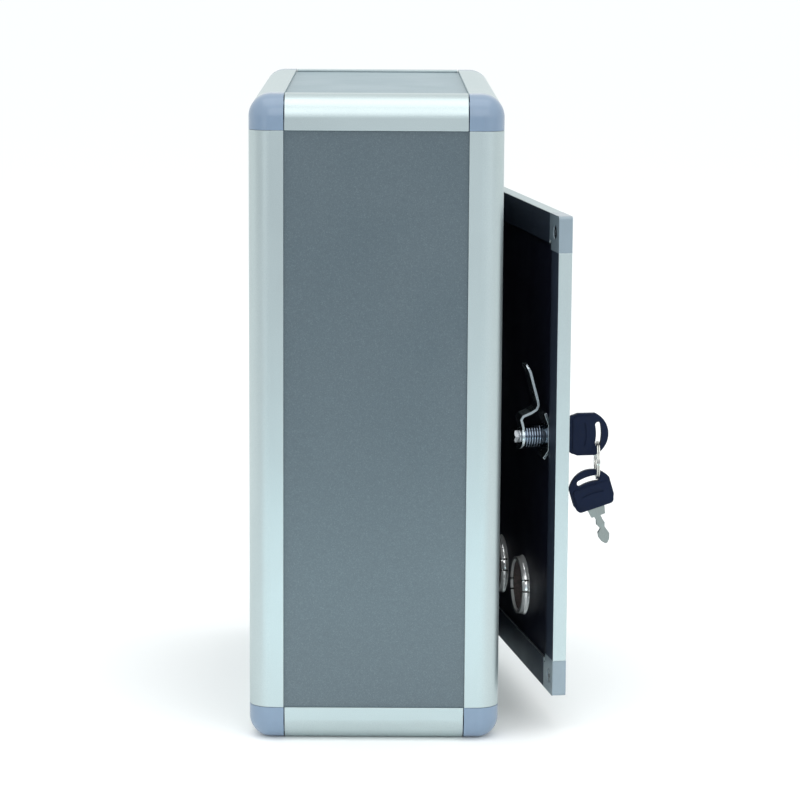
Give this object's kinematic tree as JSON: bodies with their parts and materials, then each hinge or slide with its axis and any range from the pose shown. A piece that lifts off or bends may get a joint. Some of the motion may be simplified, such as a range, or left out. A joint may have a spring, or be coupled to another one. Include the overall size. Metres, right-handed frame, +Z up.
{
  "type": "donation box",
  "caption": "Lockable aluminium-framed donation box with a deposit slot, a hinged front door with round windows, a cam lock and keys.",
  "frame": {"origin": "middle of the case's underside, the open door and keys left out", "axes": "+Z up, the door faces -Y, its hinge is on the +X side and its lock on the -X side"},
  "size_m": [0.25, 0.1922, 0.336],
  "materials": {
    "rail_aluminium": "satin anodised, fine extrusion grain",
    "door_aluminium": "satin anodised",
    "corner_plastic": "semi-gloss moulded, blue-grey",
    "door_corner_plastic": "semi-gloss moulded, grey",
    "panel_sheet": "fine-textured satin grey film on composite sheet",
    "black_liner": "smooth black sheet, satin gloss",
    "bezel_chrome": "polished",
    "lens_clear": "clear, slightly smoked",
    "lock_chrome": "polished, die-cast",
    "zinc_steel": "bright zinc plated",
    "brushed_steel": "brushed stainless",
    "screw_steel": "zinc plated",
    "key_plastic": "moulded, fine texture, dark navy black",
    "key_nickel": "nickel plated brass",
    "ring_steel": "nickel plated spring wire"
  },
  "bodies": {
    "case": {"post_front_left": "rail_aluminium", "post_front_right": "rail_aluminium", "post_back_left": "rail_aluminium", "post_back_right": "rail_aluminium", "top_rail_front": "rail_aluminium", "top_rail_back": "rail_aluminium", "top_rail_left": "rail_aluminium", "top_rail_right": "rail_aluminium", "bottom_rail_front": "rail_aluminium", "bottom_rail_back": "rail_aluminium", "bottom_rail_left": "rail_aluminium", "bottom_rail_right": "rail_aluminium", "corner_top_front_left": "corner_plastic", "corner_top_front_right": "corner_plastic", "corner_top_back_left": "corner_plastic", "corner_top_back_right": "corner_plastic", "corner_bottom_front_left": "corner_plastic", "corner_bottom_front_right": "corner_plastic", "corner_bottom_back_left": "corner_plastic", "corner_bottom_back_right": "corner_plastic", "left_panel": "panel_sheet", "right_panel": "panel_sheet", "back_panel": "panel_sheet", "top_panel": "panel_sheet", "bottom_panel": "panel_sheet", "front_panel": "panel_sheet", "cross_bar": "rail_aluminium", "slot_frame": "brushed_steel", "hinge_strip": "rail_aluminium", "strike_plate": "zinc_steel", "case_screws": "screw_steel", "hinge_case_leaf": "brushed_steel", "hinge_pin": "screw_steel"},
    "door": {"hinge_door_leaf": "brushed_steel", "hinge_door_screws": "screw_steel", "door_stile_lock": "door_aluminium", "door_stile_hinge": "door_aluminium", "door_rail_top": "door_aluminium", "door_rail_bottom": "door_aluminium", "door_corner_top_lock": "door_corner_plastic", "door_corner_top_hinge": "door_corner_plastic", "door_corner_bottom_lock": "door_corner_plastic", "door_corner_bottom_hinge": "door_corner_plastic", "door_corner_screws": "screw_steel", "door_panel": "panel_sheet", "door_liner": "black_liner", "window_bezel_lock": "bezel_chrome", "window_bezel_hinge": "bezel_chrome", "window_lens_lock": "lens_clear", "window_lens_hinge": "lens_clear", "lock_housing": "lock_chrome", "lock_clip": "zinc_steel"},
    "lock_core": {"lock_plug": "lock_chrome", "lock_cam": "zinc_steel", "cam_screw": "screw_steel"},
    "key": {"key_head": "key_plastic", "key_blade": "key_nickel"},
    "ring": {"key_ring": "ring_steel"},
    "spare_key": {"spare_key_head": "key_plastic", "spare_key_blade": "key_nickel"}
  },
  "joints": [
    {"name": "door_hinge", "type": "hinge", "parent": "case", "child": "door", "pos_m": [0.10595, -0.0673, 0.146], "axis": [0, 0, 1], "range_deg": [-10, 110]},
    {"name": "lock_turn", "type": "hinge", "parent": "door", "child": "lock_core", "pos_m": [-0.0777, -0.09663, 0.1545], "axis": [0.1736, -0.9848, 0], "range_deg": [0, 90]},
    {"name": "key_withdraw", "type": "slide", "parent": "lock_core", "child": "key", "axis": [0.1736, -0.9848, 0], "range_m": [0, 0.03]},
    {"name": "ring_swing", "type": "hinge", "parent": "key", "child": "ring", "pos_m": [-0.07395, -0.11786, 0.1461], "axis": [0.0175, -0.9998, 0], "range_deg": [-65, 65]},
    {"name": "spare_key_swing", "type": "hinge", "parent": "ring", "child": "spare_key", "pos_m": [-0.07395, -0.11786, 0.13095], "axis": [-0.9848, -0.1736, 0], "range_deg": [-20, 60]}
  ]
}
